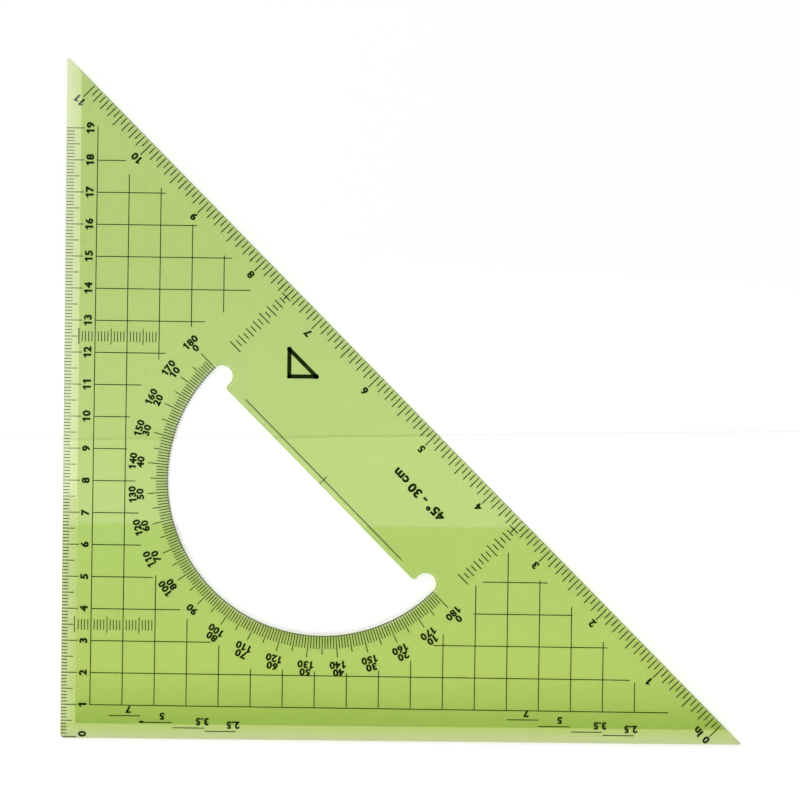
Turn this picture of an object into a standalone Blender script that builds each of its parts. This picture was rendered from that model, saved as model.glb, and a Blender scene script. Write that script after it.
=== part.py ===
"""45 degree set square in clear plastic with a protractor window and ink printed on its underside.

Metres, +Z up. The right angle lies at -X -Y, one leg runs along +X and the other along +Y. The object
rests on Z = 0, and the origin is under the middle of its box, close to the middle of the long edge.
Layout points are first given from the right-angled corner and are moved to that origin at the end.
"""

import math

import bmesh
import bpy
from mathutils import Matrix, Vector

MM = 0.001

# Plate
HYPOTENUSE = 300.8 * MM
THICKNESS = 2.0 * MM
HEEL_RADIUS = 1.2 * MM  # the right-angled corner
TIP_RADIUS = 0.5 * MM  # the two sharp corners
LEG_BEVEL_WIDTH = 4.6 * MM
LEG_EDGE_HEIGHT = 1.1 * MM
LONG_EDGE_CHAMFER = 0.45 * MM

# Protractor window: a half disc with a round finger notch at each end of its straight side
WINDOW_RADIUS = 48.7 * MM
BASE_LINE_FROM_LONG_EDGE = 35.4 * MM
STRAIGHT_SIDE_DROP = 1.85 * MM  # from the base line down to the straight side
NOTCH_RADIUS = 3.35 * MM
TOOTH_RADIUS = 1.1 * MM  # rounds the plastic between a notch and the straight side
RIM_CHAMFER_WIDTH = 0.85 * MM
RIM_CHAMFER_HEIGHT = 0.6 * MM

# Ink film on the underside
FILM = 0.02 * MM
FILM_GAP = 0.02 * MM
LINE_WIDTH = 0.26 * MM
PRINT_SKEW = math.radians(-0.21)  # the print sits a little turned on the plate
GRID_PITCH = 10.0 * MM
GRID_FIRST = Vector((9.05 * MM, 10.35 * MM))  # where the first two grid lines cross
GRID_FROM_LONG_EDGE = 9.3 * MM
GRID_FROM_WINDOW = 12.6 * MM
GRID_GRAZE = 1.0 * MM  # a line this little inside the ring round the window is printed right through
# How far the ends of the grid lines lie past the general rule, in millimetres, by the line's number: where it
# stops before the window, where it starts again past it, and where it stops by the long edge.
LEVEL_ENDS = {
    0: (0.0, 0.0, 0.5),
    1: (0.0, 0.0, -1.7),
    2: (-0.8, 0.7, 1.2),
    3: (1.1, 1.5, 0.1),
    4: (-0.3, -2.9, 2.3),
    5: (0.6, 0.0, 0.0),
    6: (2.4, 0.0, 0.0),
    7: (2.2, 0.0, 0.0),
    8: (-1.2, 0.0, 0.0),
    9: (-2.8, 0.0, 0.0),
    10: (-3.6, 0.0, 0.0),
    11: (-2.8, 0.0, 0.0),
    12: (-1.3, 0.0, 0.0),
    13: (0.0, 0.0, -1.9),
    14: (0.0, 0.0, 2.3),
    15: (0.0, 0.0, 1.2),
    16: (0.0, 0.0, 1.2),
    17: (0.0, 0.0, -1.3),
}
UPRIGHT_ENDS = {
    0: (0.0, 0.0, 0.3),
    1: (0.0, 0.0, -4.4),
    2: (1.7, 5.1, 1.4),
    3: (0.6, 3.1, 0.2),
    4: (0.2, 0.1, 0.7),
    5: (-2.0, 0.0, 0.0),
    6: (0.9, 0.0, 0.0),
    7: (1.5, 0.0, 0.0),
    8: (0.9, 0.0, 0.0),
    9: (-0.4, 0.0, 0.0),
    10: (-1.2, 0.0, 0.0),
    11: (0.9, 0.0, 0.0),
    12: (6.4, 0.0, 0.0),
    13: (0.0, 0.0, -0.9),
    14: (0.0, 0.0, 0.6),
    15: (0.0, 0.0, 2.5),
    16: (0.0, 0.0, 1.7),
    17: (0.0, 0.0, -1.0),
}
BASE_LINE_FROM_RIM = 13.7 * MM
CENTRE_MARK_ABOVE = 1.4 * MM
GUIDE_HEIGHTS = (7.0 * MM, 5.0 * MM, 3.5 * MM, 2.5 * MM)  # lettering heights, above the lower leg
GUIDE_LENGTH = 9.8 * MM
GUIDE_PITCH = 10.0 * MM
LEFT_GUIDES_FROM_HEEL = 15.0 * MM
RIGHT_GUIDES_FROM_TIP = 73.5 * MM

ARC_STEPS = 72
SMALL_ARC_STEPS = 12
MERGE = 0.001 * MM

LEG = HYPOTENUSE / math.sqrt(2)
UNDERSIDE = FILM + FILM_GAP
TOP = UNDERSIDE + THICKNESS
# A rounded tip ends short of the sharp corner by this much along its leg.
TIP_LOSS = math.sqrt(2) * TIP_RADIUS
BOX_CENTRE = Vector(((LEG - TIP_LOSS) / 2, (LEG - TIP_LOSS) / 2))
WINDOW_FROM_LEG = LEG / 2 - BASE_LINE_FROM_LONG_EDGE / math.sqrt(2)  # its centre, from each leg
WINDOW_CENTRE = Vector((WINDOW_FROM_LEG, WINDOW_FROM_LEG))
TO_ORIGIN = Matrix.Translation((-BOX_CENTRE.x, -BOX_CENTRE.y, 0.0))
# Window frame: X runs down along the long edge, Y points square to it, outwards.
WINDOW_FRAME = Matrix.Translation((*WINDOW_CENTRE, 0.0)) @ Matrix.Rotation(math.radians(-45), 4, "Z")


def new_material(name, colour, roughness, transmission=0.0):
    material = bpy.data.materials.new(name)
    material.use_nodes = True
    shader = material.node_tree.nodes["Principled BSDF"]
    shader.inputs["Base Color"].default_value = (*colour, 1.0)
    shader.inputs["Roughness"].default_value = roughness
    shader.inputs["Metallic"].default_value = 0.0
    shader.inputs["IOR"].default_value = 1.49
    shader.inputs["Transmission Weight"].default_value = transmission
    material.diffuse_color = (*colour, 1.0)
    return material


def add_object(name, bm, material, place=TO_ORIGIN):
    bm.transform(place)
    bmesh.ops.recalc_face_normals(bm, faces=bm.faces)
    mesh = bpy.data.meshes.new(name)
    bm.to_mesh(mesh)
    bm.free()
    if material:
        mesh.materials.append(material)
    obj = bpy.data.objects.new(name, mesh)
    bpy.context.scene.collection.objects.link(obj)
    return obj


def combine(obj, tool, operation):
    """A live Boolean of obj with a hidden tool object."""
    tool.hide_render = True
    tool.display_type = "WIRE"
    boolean = obj.modifiers.new(tool.name, "BOOLEAN")
    boolean.operation = operation
    boolean.object = tool


def add_bar(bm, low, high, frame=Matrix.Identity(4), bottom=0.0, top=FILM):
    """A flat bar between two corners of a rectangle, given in frame."""
    size = Vector((high[0] - low[0], high[1] - low[1], top - bottom))
    middle = Vector(((high[0] + low[0]) / 2, (high[1] + low[1]) / 2, (top + bottom) / 2))
    matrix = frame @ Matrix.Translation(middle) @ Matrix.Diagonal((*size, 1.0))
    bmesh.ops.create_cube(bm, size=1.0, matrix=matrix)


def slice_off(bm, point, outward):
    """Cut away what lies past a plane, and close the cut."""
    geometry = bm.verts[:] + bm.edges[:] + bm.faces[:]
    cut = bmesh.ops.bisect_plane(bm, geom=geometry, plane_co=point, plane_no=outward, clear_outer=True)
    rim = [item for item in cut["geom_cut"] if isinstance(item, bmesh.types.BMEdge)]
    bmesh.ops.contextual_create(bm, geom=rim)


def arc(centre, radius, start, end, steps):
    """Points from one angle to another, with both ends."""
    angles = [start + (end - start) * step / steps for step in range(steps + 1)]
    return [Vector((centre.x + radius * math.cos(a), centre.y + radius * math.sin(a))) for a in angles]


def plate_outline():
    """The triangle with its rounded corners: heel, then the tip on X, then the tip on Y."""
    tip = LEG - TIP_RADIUS / math.tan(math.radians(22.5))
    right = math.pi / 2
    heel = arc(Vector((HEEL_RADIUS, HEEL_RADIUS)), HEEL_RADIUS, 2 * right, 3 * right, SMALL_ARC_STEPS)
    tip_x = arc(Vector((tip, TIP_RADIUS)), TIP_RADIUS, 3 * right, 4.5 * right, SMALL_ARC_STEPS)
    tip_y = arc(Vector((TIP_RADIUS, tip)), TIP_RADIUS, 0.5 * right, 2 * right, SMALL_ARC_STEPS)
    return heel + tip_x + tip_y


def window_outline(grow):
    """The window's outline in its own frame, with every side moved outwards by grow."""
    notch = Vector((WINDOW_RADIUS - NOTCH_RADIUS, 0.0))
    tooth_y = TOOTH_RADIUS - STRAIGHT_SIDE_DROP
    tooth = Vector((notch.x - math.sqrt((NOTCH_RADIUS + TOOTH_RADIUS) ** 2 - tooth_y**2), tooth_y))
    meets = math.atan2(tooth.y - notch.y, tooth.x - notch.x) % (2 * math.pi)
    half = arc(Vector((0.0, 0.0)), WINDOW_RADIUS + grow, -math.pi / 2, 0.0, ARC_STEPS // 2)
    half += arc(notch, NOTCH_RADIUS + grow, 0.0, meets, 2 * SMALL_ARC_STEPS)[1:]
    half += arc(tooth, TOOTH_RADIUS - grow, meets - math.pi, -math.pi / 2, SMALL_ARC_STEPS)[1:]
    mirrored = [Vector((-point.x, point.y)) for point in reversed(half[1:])]
    return half + mirrored


def window_cutter():
    """A prism through the plate that flares at the top, which leaves the chamfered rim."""
    bm = bmesh.new()
    flare = RIM_CHAMFER_WIDTH / RIM_CHAMFER_HEIGHT
    past_top = 0.1 * MM
    levels = (
        (UNDERSIDE - THICKNESS, 0.0),
        (TOP - RIM_CHAMFER_HEIGHT, 0.0),
        (TOP + past_top, RIM_CHAMFER_WIDTH + flare * past_top),
    )
    rings = [[bm.verts.new((*point, z)) for point in window_outline(grow)] for z, grow in levels]
    for lower, upper in zip(rings, rings[1:]):
        for index in range(len(lower)):
            before = index - 1
            bm.faces.new((lower[before], lower[index], upper[index], upper[before]))
    bm.faces.new(rings[0])
    bm.faces.new(rings[-1])
    return add_object("window_cutter", bm, None, TO_ORIGIN @ WINDOW_FRAME)


def make_plate(material):
    bm = bmesh.new()
    base = bm.faces.new([bm.verts.new((*point, UNDERSIDE)) for point in plate_outline()])
    raised = bmesh.ops.extrude_face_region(bm, geom=[base])
    risen = [item for item in raised["geom"] if isinstance(item, bmesh.types.BMVert)]
    bmesh.ops.translate(bm, verts=risen, vec=(0.0, 0.0, THICKNESS))

    fall = THICKNESS - LEG_EDGE_HEIGHT
    slice_off(bm, (0.0, LEG_BEVEL_WIDTH, TOP), Vector((0.0, -fall, LEG_BEVEL_WIDTH)).normalized())
    slice_off(bm, (LEG_BEVEL_WIDTH, 0.0, TOP), Vector((-fall, 0.0, LEG_BEVEL_WIDTH)).normalized())
    outward = Vector((1.0, 1.0, 0.0)).normalized()
    on_chamfer = Vector((LEG / 2, LEG / 2, TOP)) - outward * LONG_EDGE_CHAMFER
    slice_off(bm, on_chamfer, (outward + Vector((0.0, 0.0, 1.0))).normalized())
    bmesh.ops.remove_doubles(bm, verts=bm.verts, dist=MERGE)

    plate = add_object("plate", bm, material)
    combine(plate, window_cutter(), "DIFFERENCE")
    return plate


def clear_stretches(offset, start, index, line_ends):
    """Where a grid line at this distance from its leg is printed: (start, end) along it.

    A line runs from the first cross line to the limit by the long edge. The ring round the window, which
    holds the degree figures, interrupts it, but not the first line along each leg or one that only grazes
    the ring. A very short stretch is left out.
    """
    before, past, outer = (shift * MM for shift in line_ends.get(index, (0.0, 0.0, 0.0)))
    limit = LEG - GRID_FROM_LONG_EDGE * math.sqrt(2) - offset
    ring = WINDOW_RADIUS + GRID_FROM_WINDOW
    aside = abs(offset - WINDOW_FROM_LEG)
    if index == 0 or aside > ring - GRID_GRAZE:
        return [(start, limit + outer)]
    half = math.sqrt(ring**2 - aside**2)
    if WINDOW_FROM_LEG - half > limit:
        return [(start, limit + outer)]
    stretches = []
    if WINDOW_FROM_LEG - half + before - start > GRID_PITCH / 2:
        stretches.append((start, WINDOW_FROM_LEG - half + before))
    if limit - WINDOW_FROM_LEG - half > GRID_PITCH:
        stretches.append((WINDOW_FROM_LEG + half + past, limit + outer))
    return stretches


def joined_stretches(stretches):
    """Those that hang together with the first one; each is (is upright, offset, start, end)."""
    kept, waiting, fresh = [], stretches[1:], stretches[:1]
    while fresh:
        upright, offset, start, end = fresh.pop()
        kept.append((upright, offset, start, end))
        crossing = [other for other in waiting if other[0] != upright]
        crossing = [other for other in crossing if start <= other[1] <= end and other[2] <= offset <= other[3]]
        waiting = [other for other in waiting if other not in crossing]
        fresh += crossing
    return kept


def make_grid(material):
    """The printed centimetre grid, turned about its first crossing by the skew of the print."""
    pivot = Matrix.Translation((*GRID_FIRST, 0.0))
    skew = pivot @ Matrix.Rotation(PRINT_SKEW, 4, "Z") @ pivot.inverted()
    count = int((LEG - GRID_FROM_LONG_EDGE * math.sqrt(2)) / GRID_PITCH)
    stretches = []
    for index in range(count):
        x = GRID_FIRST.x + index * GRID_PITCH
        y = GRID_FIRST.y + index * GRID_PITCH
        stretches += [(False, y, *ends) for ends in clear_stretches(y, GRID_FIRST.x, index, LEVEL_ENDS)]
        stretches += [(True, x, *ends) for ends in clear_stretches(x, GRID_FIRST.y, index, UPRIGHT_ENDS)]
    half = LINE_WIDTH / 2
    upright, level = bmesh.new(), bmesh.new()
    for is_upright, offset, start, end in joined_stretches(stretches):
        if is_upright:
            add_bar(upright, (offset - half, start - half), (offset + half, end), skew)
        else:
            add_bar(level, (start - half, offset - half), (end, offset + half), skew)
    grid = add_object("centimetre_grid_print", level, material)
    combine(grid, add_object("grid_upright_lines", upright, None), "UNION")
    return grid


def make_base_line(material):
    """The protractor's base line with the mark at its centre."""
    frame = WINDOW_FRAME @ Matrix.Rotation(PRINT_SKEW, 4, "Z")
    half = LINE_WIDTH / 2
    line, mark = bmesh.new(), bmesh.new()
    reach = WINDOW_RADIUS - BASE_LINE_FROM_RIM
    add_bar(line, (-reach, -half), (reach, half), frame)
    add_bar(mark, (-half, -STRAIGHT_SIDE_DROP + half), (half, CENTRE_MARK_ABOVE), frame)
    base_line = add_object("protractor_base_line_print", line, material)
    combine(base_line, add_object("centre_mark_line", mark, None), "UNION")
    return base_line


def make_lettering_guides(material):
    """Short lines at standard lettering heights above the lower leg, in two runs."""
    for side, first in (("left", LEFT_GUIDES_FROM_HEEL), ("right", LEG - RIGHT_GUIDES_FROM_TIP)):
        for index, height in enumerate(GUIDE_HEIGHTS):
            start = first + index * GUIDE_PITCH
            bm = bmesh.new()
            add_bar(bm, (start, height - LINE_WIDTH / 2), (start + GUIDE_LENGTH, height + LINE_WIDTH / 2))
            tenths = round(height / MM * 10)
            add_object(f"lettering_guide_{side}_{tenths}", bm, material)


for existing in list(bpy.data.objects):
    bpy.data.objects.remove(existing, do_unlink=True)
clear_green = new_material("clear_green_plastic", (0.62, 0.78, 0.34), 0.05, 1.0)
black_ink = new_material("black_ink", (0.012, 0.018, 0.008), 0.45)
make_plate(clear_green)
make_grid(black_ink)
make_base_line(black_ink)
make_lettering_guides(black_ink)
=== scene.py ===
import math

import bmesh
import bpy
from mathutils import Matrix, Vector


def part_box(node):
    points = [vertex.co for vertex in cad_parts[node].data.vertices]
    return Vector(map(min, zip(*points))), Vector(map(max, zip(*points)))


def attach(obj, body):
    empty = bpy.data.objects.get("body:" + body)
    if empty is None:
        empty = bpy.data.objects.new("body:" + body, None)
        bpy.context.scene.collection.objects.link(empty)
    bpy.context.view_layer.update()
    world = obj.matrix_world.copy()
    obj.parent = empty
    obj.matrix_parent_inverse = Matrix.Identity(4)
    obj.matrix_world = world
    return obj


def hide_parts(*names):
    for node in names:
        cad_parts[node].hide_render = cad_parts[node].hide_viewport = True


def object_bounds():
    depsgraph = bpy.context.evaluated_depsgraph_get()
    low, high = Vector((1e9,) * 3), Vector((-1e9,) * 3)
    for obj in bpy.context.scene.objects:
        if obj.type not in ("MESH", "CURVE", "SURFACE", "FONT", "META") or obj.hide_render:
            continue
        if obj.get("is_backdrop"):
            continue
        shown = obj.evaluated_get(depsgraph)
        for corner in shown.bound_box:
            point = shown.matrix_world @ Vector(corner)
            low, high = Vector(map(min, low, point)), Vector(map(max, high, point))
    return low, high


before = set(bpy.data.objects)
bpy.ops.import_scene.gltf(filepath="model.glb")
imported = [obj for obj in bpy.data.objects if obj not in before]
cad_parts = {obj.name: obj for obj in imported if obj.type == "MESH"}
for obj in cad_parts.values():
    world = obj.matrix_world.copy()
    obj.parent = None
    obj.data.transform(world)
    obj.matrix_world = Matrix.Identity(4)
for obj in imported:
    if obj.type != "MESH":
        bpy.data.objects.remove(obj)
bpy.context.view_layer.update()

# ---------------------------------------------------------------------------------------------
# The plate: a sheet of clear green acrylic, 2 mm thick, sawn to a right-angled triangle. Both legs
# are planed to a shallow bevel, the long edge is only eased, and the window is milled out with a
# chamfered rim. The faces keep the polish of the sheet, the milled faces are finely matt.
MM = 0.001
BODY = "root"
MERGE = 0.001 * MM
FLAT_ANGLE = math.radians(0.6)
EDGE_ANGLE = math.radians(8)
EASED_EDGE = 0.12 * MM
MILLED_UPRIGHT = 0.78  # faces steeper than this are milled
WALL_UPRIGHT = 0.1  # and these are the plain upright walls
WALL_SHARE = 0.45  # the upright walls keep more of the sheet's green than the eased edges
FLAT_UPRIGHT = 0.999
SMOOTH_AREA = (4 * MM) ** 2  # only small faces are shaded smooth
LEG_BEVEL = 4.6 * MM
BEVEL_SHADE_REACH = 20.0 * MM  # painted shade: towards the lower leg's bevel the sheet is darkened where the bevel turns the light away

SHEET_GREEN = (0.585, 0.706, 0.337, 1.0)
SHEET_YELLOWER = (0.598, 0.695, 0.304, 1.0)
# Painted shade for the strip along the lower leg's bevel.
BEVEL_SHADE_GREEN = (0.466, 0.590, 0.202, 1.0)
# Bevel colours: paler where the bevel thins the sheet, with painted shade for the light each slope turns
# away.
LEFT_BEVEL_TINT_AND_SHADE = ((0.650, 0.725, 0.390, 1.0), (0.710, 0.765, 0.525, 1.0))  # inner and outer side
LOWER_BEVEL_TINT_AND_SHADE = ((0.622, 0.700, 0.362, 1.0), (0.670, 0.715, 0.480, 1.0))
MILLED_GREY = (0.330, 0.340, 0.310, 1.0)
YELLOWER_FROM = -0.030  # the sheet looks yellower from here down to the lower leg
DUST_COLOUR = (0.30, 0.36, 0.16, 1.0)

# The window's arc shows a dark line at its rim, where the wall turns the light away.
ARC_CENTRE = (-24.68 * MM, -24.68 * MM, 0.0)
ARC_LINE_RADIUS = 48.82 * MM
ARC_LINE_HALF = 0.17 * MM
ARC_LINE_SHARE = 0.85
ARC_LINE_GREY = (0.150, 0.140, 0.150, 1.0)

plate_low, plate_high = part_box("plate")


def node_at(tree, kind, x, y, **settings):
    node = tree.nodes.new(kind)
    node.location = (x, y)
    for key, value in settings.items():
        setattr(node, key, value)
    return node


def feed(tree, socket, value):
    """Link another node's socket, or set a plain number or colour."""
    if isinstance(value, (int, float, tuple)):
        socket.default_value = value
    elif value is not None:
        tree.links.new(value, socket)


def math_at(tree, operation, x, y, first, second=None, third=None, clamp=False):
    node = node_at(tree, "ShaderNodeMath", x, y, operation=operation, use_clamp=clamp)
    for socket, value in zip(node.inputs, (first, second, third)):
        feed(tree, socket, value)
    return node.outputs["Value"]


def ramp_at(tree, x, y, value, start, end, low=0.0, high=1.0, how="SMOOTHSTEP"):
    """Value from start to end, spread from low to high."""
    node = node_at(tree, "ShaderNodeMapRange", x, y, interpolation_type=how)
    feed(tree, node.inputs["Value"], value)
    feed(tree, node.inputs["From Min"], start)
    feed(tree, node.inputs["From Max"], end)
    feed(tree, node.inputs["To Min"], low)
    feed(tree, node.inputs["To Max"], high)
    return node.outputs["Result"]


def blend_at(tree, x, y, share, first, second, how="MIX"):
    """A mix of two colours; each is a socket or a plain colour."""
    node = node_at(tree, "ShaderNodeMix", x, y, data_type="RGBA", blend_type=how)
    sockets = [s for s in node.inputs if s.enabled]
    for socket, value in zip(sockets, (share, first, second)):
        feed(tree, socket, value)
    return [s for s in node.outputs if s.enabled][0]


def new_group(name, inputs, outputs):
    tree = bpy.data.node_groups.new(name, "ShaderNodeTree")
    for label, kind, value in inputs:
        socket = tree.interface.new_socket(name=label, in_out="INPUT", socket_type=kind)
        socket.default_value = value
    for label, kind in outputs:
        tree.interface.new_socket(name=label, in_out="OUTPUT", socket_type=kind)
    start = node_at(tree, "NodeGroupInput", -900, 0)
    end = node_at(tree, "NodeGroupOutput", 600, 0)
    return tree, start.outputs, end.inputs


def place_group(tree, group, x, y, **values):
    node = node_at(tree, "ShaderNodeGroup", x, y, node_tree=group)
    for key, value in values.items():
        node.inputs[key.replace("_", " ")].default_value = value
    return node.outputs


def specks_group():
    """Small scattered spots, for dust on the sheet and for pinholes in the ink."""
    tree, given, wanted = new_group(
        "scattered_specks",
        (
            ("Scale", "NodeSocketFloat", 400.0),
            ("Share", "NodeSocketFloat", 0.05),
            ("Soft", "NodeSocketFloat", 0.05),
        ),
        (("Mask", "NodeSocketFloat"),),
    )
    where = node_at(tree, "ShaderNodeTexCoord", -900, -260)
    cells = node_at(tree, "ShaderNodeTexVoronoi", -620, -100)
    tree.links.new(where.outputs["Object"], cells.inputs["Vector"])
    tree.links.new(given["Scale"], cells.inputs["Scale"])
    lottery = node_at(tree, "ShaderNodeSeparateColor", -400, -260)
    tree.links.new(cells.outputs["Color"], lottery.inputs["Color"])
    chosen = math_at(tree, "LESS_THAN", -200, -260, lottery.outputs["Red"], given["Share"])
    size = math_at(tree, "MULTIPLY", -200, -80, lottery.outputs["Green"], 0.28)
    edge = math_at(tree, "SUBTRACT", 0, -40, size, cells.outputs["Distance"])
    spot = math_at(tree, "DIVIDE", 180, -40, edge, given["Soft"], clamp=True)
    tree.links.new(math_at(tree, "MULTIPLY", 380, -100, spot, chosen), wanted["Mask"])
    return tree


SPECKS = specks_group()


def clear_green_material():
    material = bpy.data.materials.new("clear_green_acrylic")
    material.use_nodes = True
    tree = material.node_tree
    shader = tree.nodes["Principled BSDF"]
    shader.inputs["Metallic"].default_value = 0.0
    shader.inputs["IOR"].default_value = 1.49
    shader.inputs["Transmission Weight"].default_value = 1.0

    where = node_at(tree, "ShaderNodeTexCoord", -2200, 0)
    axes = node_at(tree, "ShaderNodeSeparateXYZ", -2000, 0)
    tree.links.new(where.outputs["Object"], axes.inputs["Vector"])
    from_left = math_at(tree, "SUBTRACT", -1800, 100, axes.outputs["X"], plate_low.x)
    from_below = math_at(tree, "SUBTRACT", -1800, -100, axes.outputs["Y"], plate_low.y)

    # The sheet's own colour, a little uneven from the casting, and paler where a bevel thins it; the bevels
    # also carry painted shade for the light their slopes turn away.
    clouds = node_at(tree, "ShaderNodeTexNoise", -1600, 300)
    tree.links.new(where.outputs["Object"], clouds.inputs["Vector"])
    clouds.inputs["Scale"].default_value = 14.0
    clouds.inputs["Detail"].default_value = 3.0
    uneven = ramp_at(tree, -1400, 300, clouds.outputs["Fac"], 0.3, 0.7)
    # Yellower towards the lower leg, mixed with the uneven tone.
    lower = ramp_at(tree, -1400, 500, axes.outputs["Y"], YELLOWER_FROM, plate_low.y)
    uneven_and_lower = math_at(tree, "MULTIPLY_ADD", -1200, 400, uneven, 0.35, lower)
    colour = blend_at(tree, -1000, 300, uneven_and_lower, SHEET_GREEN, SHEET_YELLOWER)
    # Painted shade: darker towards the lower leg's bevel, where the bevel turns the light away.
    rise = ramp_at(tree, -1400, -260, from_below, LEG_BEVEL + BEVEL_SHADE_REACH, LEG_BEVEL, how="LINEAR")
    bevel_shade_share = math_at(tree, "POWER", -1200, -260, rise, 1.8)
    colour = blend_at(tree, -800, 200, bevel_shade_share, colour, BEVEL_SHADE_GREEN)
    # Painted shade on the bevels: paler outwards where the sheet thins, and darkened for the light each
    # slope turns away.
    bevels = ((from_left, LEFT_BEVEL_TINT_AND_SHADE), (from_below, LOWER_BEVEL_TINT_AND_SHADE))
    for row, (inwards, (inner, outer)) in enumerate(bevels):
        thin = ramp_at(tree, -1400, 60 - 400 * row, inwards, LEG_BEVEL, 0.0)
        on_bevel = math_at(tree, "LESS_THAN", -1200, -60 - 400 * row, inwards, LEG_BEVEL)
        bevel_tint_and_shade = blend_at(tree, -1000, 60 - 400 * row, thin, inner, outer)
        colour = blend_at(tree, -600 + 100 * row, 100, on_bevel, colour, bevel_tint_and_shade)

    # Milled faces are matt and lean to grey, and the window's arc carries its dark line.
    milled = node_at(tree, "ShaderNodeAttribute", -1000, -300, attribute_name="milled")
    colour = blend_at(tree, -400, 50, milled.outputs["Fac"], colour, MILLED_GREY)
    level = node_at(tree, "ShaderNodeCombineXYZ", -1000, -800)
    tree.links.new(axes.outputs["X"], level.inputs["X"])
    tree.links.new(axes.outputs["Y"], level.inputs["Y"])
    radial = node_at(tree, "ShaderNodeVectorMath", -800, -800, operation="DISTANCE")
    tree.links.new(level.outputs["Vector"], radial.inputs[0])
    radial.inputs[1].default_value = ARC_CENTRE
    on_rim = math_at(tree, "COMPARE", -600, -800, radial.outputs["Value"], ARC_LINE_RADIUS, ARC_LINE_HALF)
    diagonal = math_at(tree, "ADD", -800, -950, axes.outputs["X"], axes.outputs["Y"])
    beside_arc = math_at(tree, "LESS_THAN", -600, -950, diagonal, ARC_CENTRE[0] + ARC_CENTRE[1])
    arc_share = math_at(tree, "MULTIPLY", -500, -950, beside_arc, ARC_LINE_SHARE)
    rim_share = math_at(tree, "MULTIPLY", -400, -800, on_rim, arc_share)
    colour = blend_at(tree, -300, 50, rim_share, colour, ARC_LINE_GREY)
    dust = place_group(tree, SPECKS, -600, -200, Scale=260.0, Share=0.05, Soft=0.04)["Mask"]
    dusty = math_at(tree, "MULTIPLY", -400, -200, dust, 0.12)
    colour = blend_at(tree, -200, 50, dusty, colour, DUST_COLOUR)
    tree.links.new(colour, shader.inputs["Base Color"])

    # Hairline scratches from sliding about on the board.
    turned = node_at(tree, "ShaderNodeMapping", -1600, -500)
    turned.inputs["Rotation"].default_value = (0.0, 0.0, 0.6)
    turned.inputs["Scale"].default_value = (60.0, 2600.0, 1.0)
    tree.links.new(where.outputs["Object"], turned.inputs["Vector"])
    hairs = node_at(tree, "ShaderNodeTexNoise", -1400, -500)
    tree.links.new(turned.outputs["Vector"], hairs.inputs["Vector"])
    hairs.inputs["Scale"].default_value = 1.0
    scratch = ramp_at(tree, -1200, -500, hairs.outputs["Fac"], 0.66, 0.74)
    polish = math_at(tree, "MULTIPLY_ADD", -800, -500, scratch, 0.05, 0.02)
    rough = math_at(tree, "MULTIPLY_ADD", -600, -500, milled.outputs["Fac"], 0.40, polish)
    tree.links.new(rough, shader.inputs["Roughness"])

    # Light from the lamps passes through the plate instead of being stopped by it.
    letting = node_at(tree, "ShaderNodeBsdfTransparent", 200, -200)
    root = node_at(tree, "ShaderNodeGamma", 0, -200)
    root.inputs["Gamma"].default_value = 0.5
    tree.links.new(colour, root.inputs["Color"])
    tree.links.new(root.outputs["Color"], letting.inputs["Color"])
    path = node_at(tree, "ShaderNodeLightPath", 200, 300)
    either = node_at(tree, "ShaderNodeMixShader", 450, 0)
    tree.links.new(path.outputs["Is Shadow Ray"], either.inputs["Fac"])
    tree.links.new(shader.outputs["BSDF"], either.inputs[1])
    tree.links.new(letting.outputs["BSDF"], either.inputs[2])
    output = tree.nodes["Material Output"]
    output.location = (700, 0)
    tree.links.new(either.outputs["Shader"], output.inputs["Surface"])
    return material


def add_piece(name, bm, material):
    mesh = bpy.data.meshes.new(name)
    bm.to_mesh(mesh)
    bm.free()
    mesh.materials.append(material)
    piece = bpy.data.objects.new(name, mesh)
    bpy.context.scene.collection.objects.link(piece)
    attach(piece, BODY)
    return piece


def clear_plate():
    bm = bmesh.new()
    bm.from_mesh(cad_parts["plate"].data)
    bmesh.ops.remove_doubles(bm, verts=bm.verts, dist=MERGE)
    bmesh.ops.dissolve_limit(bm, angle_limit=FLAT_ANGLE, verts=bm.verts, edges=bm.edges)
    sharp = [edge for edge in bm.edges if edge.calc_face_angle(0.0) > EDGE_ANGLE]
    bmesh.ops.bevel(
        bm,
        geom=sharp,
        offset=EASED_EDGE,
        offset_type="OFFSET",
        affect="EDGES",
        segments=2,
        profile=0.5,
        material=-1,
    )
    bmesh.ops.dissolve_degenerate(bm, dist=MERGE / 10, edges=bm.edges)
    milled = bm.faces.layers.float.new("milled")
    for face in bm.faces:
        upright = abs(face.normal.z)
        face[milled] = 0.0 if upright > MILLED_UPRIGHT else 1.0
        if upright < WALL_UPRIGHT:
            face[milled] = WALL_SHARE
        face.smooth = upright < FLAT_UPRIGHT and face.calc_area() < SMOOTH_AREA
    return add_piece("clear_plate", bm, clear_green_material())


plate = clear_plate()
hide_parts("plate")

# ---------------------------------------------------------------------------------------------
# The printed lines that the frame already holds: centimetre grid, protractor base line and
# lettering guides. They are screen-printed on the underside in one pass of near-black ink, which
# has a few pinholes and thinner patches.
INK_DENSE = (0.0035, 0.0075, 0.0022, 1.0)
INK_THIN = (0.016, 0.030, 0.008, 1.0)


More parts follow.
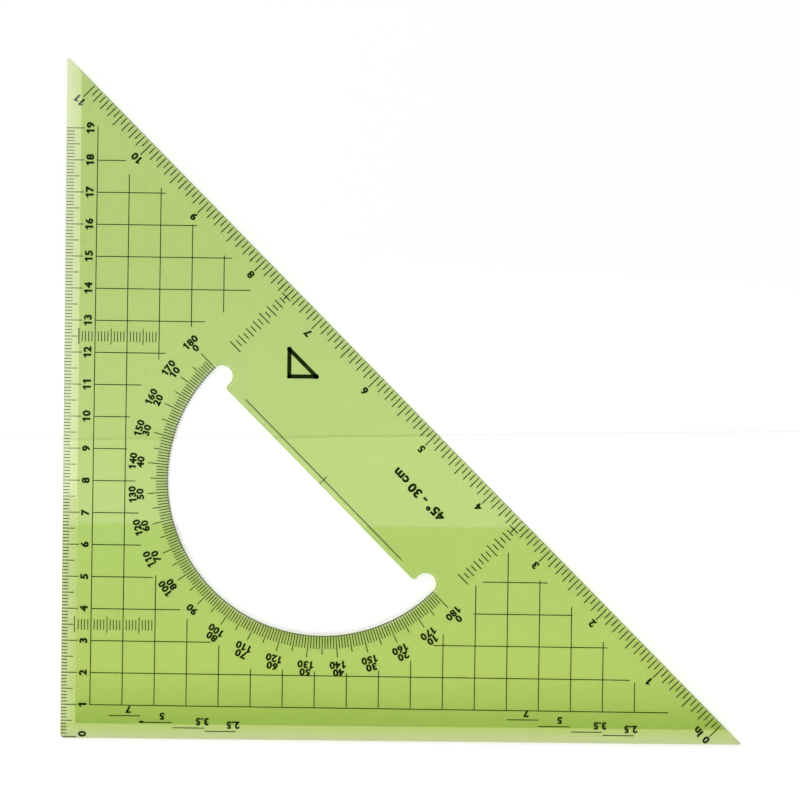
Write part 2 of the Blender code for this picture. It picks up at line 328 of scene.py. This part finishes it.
def ink_material():
    material = bpy.data.materials.new("printing_ink")
    material.use_nodes = True
    tree = material.node_tree
    shader = tree.nodes["Principled BSDF"]
    shader.inputs["Metallic"].default_value = 0.0
    where = node_at(tree, "ShaderNodeTexCoord", -1200, 0)
    patches = node_at(tree, "ShaderNodeTexNoise", -1000, 0)
    tree.links.new(where.outputs["Object"], patches.inputs["Vector"])
    patches.inputs["Scale"].default_value = 180.0
    patches.inputs["Detail"].default_value = 5.0
    thin = ramp_at(tree, -800, 0, patches.outputs["Fac"], 0.42, 0.70)
    holes = place_group(tree, SPECKS, -800, -260, Scale=1800.0, Share=0.10, Soft=0.10)["Mask"]
    worn = math_at(tree, "MAXIMUM", -600, 0, thin, holes)
    colour = blend_at(tree, -400, 0, worn, INK_DENSE, INK_THIN)
    tree.links.new(colour, shader.inputs["Base Color"])
    dull = math_at(tree, "MULTIPLY_ADD", -400, -300, worn, 0.25, 0.45)
    tree.links.new(dull, shader.inputs["Roughness"])
    return material


INK = ink_material()
printed_nodes = [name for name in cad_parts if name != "plate"]
for name in printed_nodes:
    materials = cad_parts[name].data.materials
    materials.clear()
    materials.append(INK)

# ---------------------------------------------------------------------------------------------
# The centimetre scale along the left leg: a tick each millimetre from the very edge, longer at
# each 5 mm and longest at each centimetre, with bold figures that read upwards. Ticks and figures
# are the same film of ink, a little turned on the plate like all of the print.
FILM = 0.02 * MM
LINE = 0.24 * MM
PRINT_TURN = math.radians(-0.21)
GRID_FIRST = Vector((9.05 * MM, 10.35 * MM, 0.0))  # from the heel, the grid's first crossing
CM = 10.0 * MM
CM_ZERO = GRID_FIRST.y - CM
CM_COUNT = 19
CM_TICKS = {"each": 1.9 * MM, "half": 3.7 * MM, "whole": 4.95 * MM}
CM_FIGURE_HEIGHT = 2.35 * MM
CM_FIGURE_FROM_EDGE = 6.65 * MM

FONT_DIGIT_HEIGHT = 0.74  # of a digit at size 1 with the bold offset
FONT_BOLD = 0.048
FONT_WIDEN = 1.10
FONT_CELL = 0.60  # a figure's cell at size 1
FONT_SPACE = 0.26
FONT_GAP = 0.05  # beside a letter or sign
TICK_INSET = 0.03 * MM
heel = Vector((plate_low.x, plate_low.y, 0.0))
to_first = Matrix.Translation(GRID_FIRST)
PRINT = Matrix.Translation(heel) @ to_first @ Matrix.Rotation(PRINT_TURN, 4, "Z") @ to_first.inverted()


def add_stroke(bm, start, end, place, width=LINE):
    """A straight line of ink from start to end, both in the frame place."""
    along = Vector(end) - Vector(start)
    middle = (Vector(start) + Vector(end)) / 2
    turn = Matrix.Rotation(math.atan2(along.y, along.x), 4, "Z")
    centre = Matrix.Translation((middle.x, middle.y, FILM / 2))
    shape = Matrix.Diagonal((along.length, width, FILM, 1.0))
    bmesh.ops.create_cube(bm, size=1.0, matrix=place @ centre @ turn @ shape)


def glyph_mesh(letter):
    """One bold figure or letter at size 1, its foot on zero and its middle at X = 0."""
    if letter == "1":
        bm = bmesh.new()
        half = FONT_BOLD + 0.05
        stem_size = Matrix.Diagonal((2 * half, 0.70 + 2 * FONT_BOLD, 1.0, 1.0))
        stem = Matrix.Translation((0.05, 0.35, 0.0)) @ stem_size
        bmesh.ops.create_cube(bm, size=1.0, matrix=stem)
        flag = Matrix.Translation((-0.08, 0.59, 0.0)) @ Matrix.Rotation(math.radians(38), 4, "Z")
        bmesh.ops.create_cube(bm, size=1.0, matrix=flag @ Matrix.Diagonal((0.30, 0.14, 1.0, 1.0)))
    else:
        curve = bpy.data.curves.new("glyph", "FONT")
        curve.body = letter
        curve.offset = FONT_BOLD
        curve.extrude = 0.5
        curve.resolution_u = 3
        text = bpy.data.objects.new("glyph", curve)
        bpy.context.scene.collection.objects.link(text)
        graph = bpy.context.evaluated_depsgraph_get()
        shape = bpy.data.meshes.new_from_object(text.evaluated_get(graph))
        bpy.data.objects.remove(text)
        bpy.data.curves.remove(curve)
        bm = bmesh.new()
        bm.from_mesh(shape)
        bpy.data.meshes.remove(shape)
        bmesh.ops.remove_doubles(bm, verts=bm.verts, dist=0.0001)
        across = [vert.co.x for vert in bm.verts]
        bmesh.ops.translate(bm, verts=bm.verts, vec=(-(min(across) + max(across)) / 2, 0.0, 0.0))
    bmesh.ops.scale(bm, verts=bm.verts, vec=(FONT_WIDEN, 1.0, 1.0))
    across = [vert.co.x for vert in bm.verts]
    width = max(across) - min(across)
    mesh = bpy.data.meshes.new("glyph_" + str(ord(letter)))
    bm.to_mesh(mesh)
    bm.free()
    return mesh, width


GLYPHS = {}


def add_label(bm, words, height, place):
    """Bold figures centred on the frame place, reading along its X, with their tops towards its Y."""
    scale = height / FONT_DIGIT_HEIGHT
    cells = []
    for letter in words:
        if letter not in GLYPHS and letter != " ":
            GLYPHS[letter] = glyph_mesh(letter)
        if letter.isdigit():
            cells.append(FONT_CELL)
        elif letter == " ":
            cells.append(FONT_SPACE)
        else:
            cells.append(GLYPHS[letter][1] + FONT_GAP)
    reach = -sum(cells) / 2
    for letter, cell in zip(words, cells):
        if letter != " ":
            before = len(bm.verts)
            bm.from_mesh(GLYPHS[letter][0])
            fresh = list(bm.verts)[before:]
            shape = Matrix.Diagonal((scale, scale, FILM, 1.0))
            shift = Matrix.Translation(((reach + cell / 2) * scale, -height / 2, FILM / 2))
            bmesh.ops.transform(bm, matrix=place @ shift @ shape, verts=fresh)
        reach += cell


def at(frame_matrix, x, y, turn=0.0):
    """The frame at a point of another one, turned by degrees."""
    return frame_matrix @ Matrix.Translation((x, y, 0.0)) @ Matrix.Rotation(math.radians(turn), 4, "Z")


def kind_of_tick(index, whole, half):
    if index % whole == 0:
        return "whole"
    return "half" if index % half == 0 else "each"


ticks, figures = bmesh.new(), bmesh.new()
for index in range(CM_COUNT * 10 + 1):
    y = CM_ZERO + index * MM
    edge_x = (y - GRID_FIRST.y) * math.tan(PRINT_TURN)  # where the turned line meets the plate's edge
    length = CM_TICKS[kind_of_tick(index, 10, 5)]
    add_stroke(ticks, (edge_x + TICK_INSET, y), (length, y), PRINT)
for number in range(CM_COUNT + 1):
    y = CM_ZERO + number * CM
    y = max(y, CM_FIGURE_HEIGHT * 0.55)
    add_label(figures, str(number), CM_FIGURE_HEIGHT, at(PRINT, CM_FIGURE_FROM_EDGE, y, 90))
add_piece("centimetre_ticks", ticks, INK)
add_piece("centimetre_figures", figures, INK)

# ---------------------------------------------------------------------------------------------
# The inch scale along the long edge: sixteenths, with longer ticks at the eighths and longest at
# the halves and inches. It starts near the lower right tip, and its figures stand on the ticks.
INCH = 25.4 * MM
TIP_ROUNDING = math.sqrt(2) * 0.5 * MM
LEG = plate_high.x - plate_low.x + TIP_ROUNDING
INCH_ZERO_FROM_TIP = 8.9 * MM
INCH_COUNT = 11
INCH_INSET = 0.65 * MM
INCH_LINE = 0.32 * MM
INCH_TICKS = {16: 4.6 * MM, 8: 4.35 * MM, 2: 3.6 * MM, 1: 2.4 * MM}
INCH_FIGURE_HEIGHT = 2.3 * MM
INCH_FIGURE_FROM_EDGE = 6.95 * MM
UNIT_HEIGHT = 2.4 * MM
UNIT_PAST_ZERO = 3.6 * MM

# X runs up the long edge from the lower right tip, Y points into the plate.
LONG_EDGE = Matrix.Translation(heel + Vector((LEG, 0.0, 0.0))) @ Matrix.Rotation(math.radians(135), 4, "Z")

ticks, figures = bmesh.new(), bmesh.new()
for index in range(INCH_COUNT * 16 + 1):
    x = INCH_ZERO_FROM_TIP + index * INCH / 16
    length = next(reach for step, reach in INCH_TICKS.items() if index % step == 0)
    add_stroke(ticks, (x, INCH_INSET), (x, INCH_INSET + length), LONG_EDGE, INCH_LINE)
for number in range(INCH_COUNT + 1):
    x = INCH_ZERO_FROM_TIP + number * INCH
    add_label(figures, str(number), INCH_FIGURE_HEIGHT, at(LONG_EDGE, x, INCH_FIGURE_FROM_EDGE))
unit_place = at(LONG_EDGE, INCH_ZERO_FROM_TIP + UNIT_PAST_ZERO, INCH_FIGURE_FROM_EDGE)
add_label(figures, "In", UNIT_HEIGHT, unit_place)
add_piece("inch_ticks", ticks, INK)
add_piece("inch_figures", figures, INK)

# ---------------------------------------------------------------------------------------------
# The protractor's degree scale round the window: a tick for each degree from the rim, longer at 5
# and 10 degrees, and two rows of figures that count both ways with their tops away from the rim.
WINDOW_RADIUS = 48.7 * MM
BASE_LINE_FROM_LONG_EDGE = 35.4 * MM
DEGREE_TICKS = {"each": 3.9 * MM, "half": 5.6 * MM, "whole": 6.7 * MM}
DEGREE_LINE = 0.26 * MM
DEGREE_INSET = 0.05 * MM
DEGREE_FIGURE_HEIGHT = 2.2 * MM
NEAR_ROW = 57.8 * MM
FAR_ROW = 60.2 * MM
ZERO_DIRECTION = 135  # the 0 of the near row lies at the upper left end of the base line

window_from_leg = LEG / 2 - BASE_LINE_FROM_LONG_EDGE / math.sqrt(2)
WINDOW = at(PRINT, window_from_leg, window_from_leg)

ticks, figures = bmesh.new(), bmesh.new()
for degree in range(181):
    ray = at(WINDOW, 0.0, 0.0, ZERO_DIRECTION + degree)
    length = DEGREE_TICKS[kind_of_tick(degree, 10, 5)]
    start = WINDOW_RADIUS + DEGREE_INSET
    add_stroke(ticks, (start, 0.0), (WINDOW_RADIUS + length, 0.0), ray, DEGREE_LINE)
    if degree % 10 == 0:
        add_label(figures, str(degree), DEGREE_FIGURE_HEIGHT, at(ray, NEAR_ROW, 0.0, -90))
        if degree != 90:
            add_label(figures, str(180 - degree), DEGREE_FIGURE_HEIGHT, at(ray, FAR_ROW, 0.0, -90))
add_piece("degree_ticks", ticks, INK)
add_piece("degree_figures", figures, INK)

# ---------------------------------------------------------------------------------------------
# The millimetre ladders: two rows of upright ticks across the first grid lines, at 3.5 and
# 12.5 cm, for setting off short distances from the left leg.
LADDER_HEIGHTS = (3.5, 12.5)
LADDER_START = -5
LADDER_END = 20
LADDER_TICKS = {"each": 3.2 * MM, "half": 5.0 * MM}

ticks = bmesh.new()
for height in LADDER_HEIGHTS:
    y = CM_ZERO + height * CM
    for index in range(LADDER_START, LADDER_END + 1):
        if index % 10 == 0:
            continue  # a grid line stands here
        x = GRID_FIRST.x + index * MM
        half = LADDER_TICKS["half" if index % 5 == 0 else "each"] / 2
        add_stroke(ticks, (x, y - half), (x, y + half), PRINT)
add_piece("millimetre_ladders", ticks, INK)

# ---------------------------------------------------------------------------------------------
# The inch ladders: two stacks of short bars that stand square on the long edge at 3.5 and 7.5
# inches, one bar each sixteenth, for ruling lines parallel to that edge.
INCH_LADDERS = (3.5, 7.5)
LADDER_RUNGS = 14
FIRST_RUNG = 2  # sixteenths past the inset
RUNG_LENGTHS = {0: 3.6 * MM, 4: 4.2 * MM, 6: 4.6 * MM, 14: 4.6 * MM}
RUNG_SHORT = 2.4 * MM
RUNG_LONG = 3.5 * MM

ticks = bmesh.new()
for inches in INCH_LADDERS:
    x = INCH_ZERO_FROM_TIP + inches * INCH
    for rung in range(LADDER_RUNGS + 1):
        y = INCH_INSET + (FIRST_RUNG + rung) * INCH / 16
        length = RUNG_LENGTHS.get(rung, RUNG_SHORT if rung % 2 else RUNG_LONG)
        add_stroke(ticks, (x - length / 2, y), (x + length / 2, y), LONG_EDGE, INCH_LINE)
add_piece("inch_ladders", ticks, INK)

# ---------------------------------------------------------------------------------------------
# The figures of the lettering guides name each guide's height in millimetres. They stand just
# above their lines, upside down, because the guides are used with the plate turned round.
GUIDE_NAMES = {"70": "7", "50": "5", "35": "3.5", "25": "2.5"}
GUIDE_FIGURE_HEIGHT = 2.1 * MM
GUIDE_FIGURE_ABOVE = 1.75 * MM
GUIDE_FIGURE_SHIFT = {"70": 1.1 * MM, "50": 1.7 * MM, "35": 4.3 * MM, "25": 3.9 * MM}
BLOT_INWARDS = 0.2 * MM  # a blot of ink at the left end of one guide
BLOT_SHAPE = Matrix.Diagonal((1.7 * MM, 0.7 * MM, FILM, 1.0))

figures = bmesh.new()
for side in ("left", "right"):
    for tenths, name in GUIDE_NAMES.items():
        low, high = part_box(f"lettering_guide_{side}_{tenths}")
        x = (low.x + high.x) / 2 + GUIDE_FIGURE_SHIFT[tenths]
        place = at(Matrix.Identity(4), x, high.y + GUIDE_FIGURE_ABOVE, 180)
        add_label(figures, name, GUIDE_FIGURE_HEIGHT, place)
blot_low, blot_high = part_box("lettering_guide_left_50")
blot = Matrix.Translation((blot_low.x + BLOT_INWARDS, blot_high.y, FILM / 2)) @ BLOT_SHAPE
bmesh.ops.create_cone(
    figures,
    cap_ends=True,
    segments=14,
    radius1=0.5,
    radius2=0.5,
    depth=1.0,
    matrix=blot,
)
add_piece("guide_figures", figures, INK)

# ---------------------------------------------------------------------------------------------
# The size mark and a plain pictogram of a set square, printed between the window and the long
# edge. They stand where a maker prints its own marks.
SIZE_MARK = "45° - 30 cm"
SIZE_MARK_HEIGHT = 2.9 * MM
SIZE_MARK_AT = (126.3 * MM, 17.5 * MM)  # along and in from the long edge, from the lower right tip
PICTOGRAM_AT = (181.0 * MM, 14.5 * MM)
PICTOGRAM_LEG = 6.0 * MM
PICTOGRAM_LINE = 1.3 * MM


def add_pictogram(bm, place):
    """A set square drawn in a thick line, with its right angle away from the long edge."""
    corners = [Vector((-PICTOGRAM_LEG, 0.0)), Vector((PICTOGRAM_LEG, 0.0)), Vector((0.0, PICTOGRAM_LEG))]
    for start, end in zip(corners, corners[1:] + corners[:1]):
        along = (end - start).normalized() * PICTOGRAM_LINE / 2
        add_stroke(bm, start - along, end + along, place, PICTOGRAM_LINE)


figures = bmesh.new()
add_label(figures, SIZE_MARK, SIZE_MARK_HEIGHT, at(LONG_EDGE, *SIZE_MARK_AT))
add_pictogram(figures, at(LONG_EDGE, *PICTOGRAM_AT))
add_piece("size_mark_and_pictogram", figures, INK)

# ---------------------------------------------------------------------------------------------
# The setting: a white light table, whose upper part is lit from below, brightest in a band with a
# fine line on top. Soft boxes stand round it, one where the left bevel mirrors it. The camera looks
# straight down.
TABLE_BELOW = 0.05 * MM
TABLE_SIZE = 6.0
GLOW_EDGE = -0.0390  # the table is lit from below from here up, and the band starts here
GLOW_SOFT = 0.0004
BAND_TOP = -0.0106
BAND_SLOPE = 0.021
BAND_LINE = 0.0004
FADE_TO = 0.045
LOWER_WHITE = 0.88
UPPER_WHITE = 0.63
LOWER_GLOW = 0.13
UPPER_GLOW = 0.41
FADED_GLOW = 0.345
BAND_GLOW = 0.45
LINE_GLOW = 0.31
CAMERA_LENS = 135
CAMERA_VIEW = 0.24940  # metres of table across the picture
CAMERA_CENTRE = (-0.00112, 0.00048)
CAMERA_TURN = math.radians(0.61)

bm = bmesh.new()
bmesh.ops.create_grid(
    bm, x_segments=1, y_segments=1, size=TABLE_SIZE / 2, matrix=Matrix.Translation((0.0, 0.0, -TABLE_BELOW))
)
mesh = bpy.data.meshes.new("light_table")
bm.to_mesh(mesh)
bm.free()
table = bpy.data.objects.new("light_table", mesh)
bpy.context.scene.collection.objects.link(table)
table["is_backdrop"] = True

material = bpy.data.materials.new("white_table")
material.use_nodes = True
mesh.materials.append(material)
tree = material.node_tree
shader = tree.nodes["Principled BSDF"]
shader.inputs["Roughness"].default_value = 0.9
shader.inputs["Specular IOR Level"].default_value = 0.0
shader.inputs["Emission Color"].default_value = (1.0, 1.0, 1.0, 1.0)
where = node_at(tree, "ShaderNodeTexCoord", -1200, 0)
axes = node_at(tree, "ShaderNodeSeparateXYZ", -1000, 0)
tree.links.new(where.outputs["Object"], axes.inputs["Vector"])
height = axes.outputs["Y"]
above_edge = ramp_at(tree, -800, 0, height, GLOW_EDGE - GLOW_SOFT, GLOW_EDGE + GLOW_SOFT)
sloped = math_at(tree, "MULTIPLY_ADD", -900, -260, axes.outputs["X"], -BAND_SLOPE, height)
above_band = ramp_at(tree, -800, -260, sloped, BAND_TOP - BAND_LINE, BAND_TOP + BAND_LINE)
past_line = math_at(tree, "COMPARE", -800, -520, sloped, BAND_TOP, BAND_LINE)
fading = ramp_at(tree, -600, -780, height, 0.0, FADE_TO, UPPER_GLOW, FADED_GLOW, how="LINEAR")
upper_glow = ramp_at(tree, -500, -260, above_band, 0.0, 1.0, BAND_GLOW, fading, how="LINEAR")
lined_glow = ramp_at(tree, -400, -520, past_line, 0.0, 1.0, upper_glow, LINE_GLOW, how="LINEAR")
glow = ramp_at(tree, -200, -260, above_edge, 0.0, 1.0, LOWER_GLOW, lined_glow, how="LINEAR")
tree.links.new(glow, shader.inputs["Emission Strength"])
dimmer = ramp_at(tree, -400, 200, above_edge, 0.0, 1.0, LOWER_WHITE, UPPER_WHITE)
grey = node_at(tree, "ShaderNodeCombineColor", -200, 200)
for channel in ("Red", "Green", "Blue"):
    tree.links.new(dimmer, grey.inputs[channel])
tree.links.new(grey.outputs["Color"], shader.inputs["Base Color"])


def add_soft_box(name, place, target, width, height, radiance):
    """A rectangular lamp of an even brightness that faces its target."""
    lamp = bpy.data.lights.new(name, "AREA")
    lamp.shape = "RECTANGLE"
    lamp.size = width
    lamp.size_y = height
    lamp.energy = radiance * math.pi * width * height
    box = bpy.data.objects.new(name, lamp)
    place, target = Vector(place), Vector(target)
    turn = (target - place).to_track_quat("-Z", "Y").to_matrix().to_4x4()
    box.matrix_world = Matrix.Translation(place) @ turn
    box.visible_transmission = False
    bpy.context.scene.collection.objects.link(box)


SIDE_BOX_REACH = 0.95
SIDE_BOX_RISE = 0.75
SIDE_BOX_SIZE = 0.8
SIDE_BOX_RADIANCE = 3.0
for index, degrees in enumerate((45, 135, 225, 315)):
    angle = math.radians(degrees)
    spot = (SIDE_BOX_REACH * math.cos(angle), SIDE_BOX_REACH * math.sin(angle), SIDE_BOX_RISE)
    add_soft_box(f"side_box_{index}", spot, (0, 0, 0), SIDE_BOX_SIZE, SIDE_BOX_SIZE, SIDE_BOX_RADIANCE)
BEVEL_BOX_AT = (-0.62, 0.135, 0.95)
BEVEL_BOX_TARGET = (-0.10, 0.03, 0.0)
BEVEL_BOX_WIDTH = 0.40
BEVEL_BOX_HEIGHT = 0.43
BEVEL_BOX_RADIANCE = 3.1
add_soft_box(
    "left_bevel_box",
    BEVEL_BOX_AT,
    BEVEL_BOX_TARGET,
    BEVEL_BOX_WIDTH,
    BEVEL_BOX_HEIGHT,
    BEVEL_BOX_RADIANCE,
)

# The room is bright at the sides and dim overhead, so the flat faces mirror little.
DIM_FROM = 0.70
DIM_TO = 0.93
SIDES_STRENGTH = 0.75
TOP_STRENGTH = 0.06
world = bpy.data.worlds.new("studio")
bpy.context.scene.world = world
world.use_nodes = True
world.cycles.sampling_method = "NONE"
tree = world.node_tree
background = tree.nodes["Background"]
where = node_at(tree, "ShaderNodeTexCoord", -800, 0)
axes = node_at(tree, "ShaderNodeSeparateXYZ", -600, 0)
tree.links.new(where.outputs["Generated"], axes.inputs["Vector"])
strength = ramp_at(tree, -400, 0, axes.outputs["Z"], DIM_FROM, DIM_TO, SIDES_STRENGTH, TOP_STRENGTH)
tree.links.new(strength, background.inputs["Strength"])

camera = bpy.data.cameras.new("camera")
camera.lens = CAMERA_LENS
camera.sensor_width = 36.0
camera.clip_start = 0.01
distance = CAMERA_VIEW * camera.lens / camera.sensor_width
viewer = bpy.data.objects.new("camera", camera)
viewer.location = (*CAMERA_CENTRE, distance + plate_high.z)
viewer.rotation_euler = (0.0, 0.0, CAMERA_TURN)
bpy.context.scene.collection.objects.link(viewer)
bpy.context.scene.camera = viewer
bpy.context.scene.view_settings.view_transform = "Standard"

low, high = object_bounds()
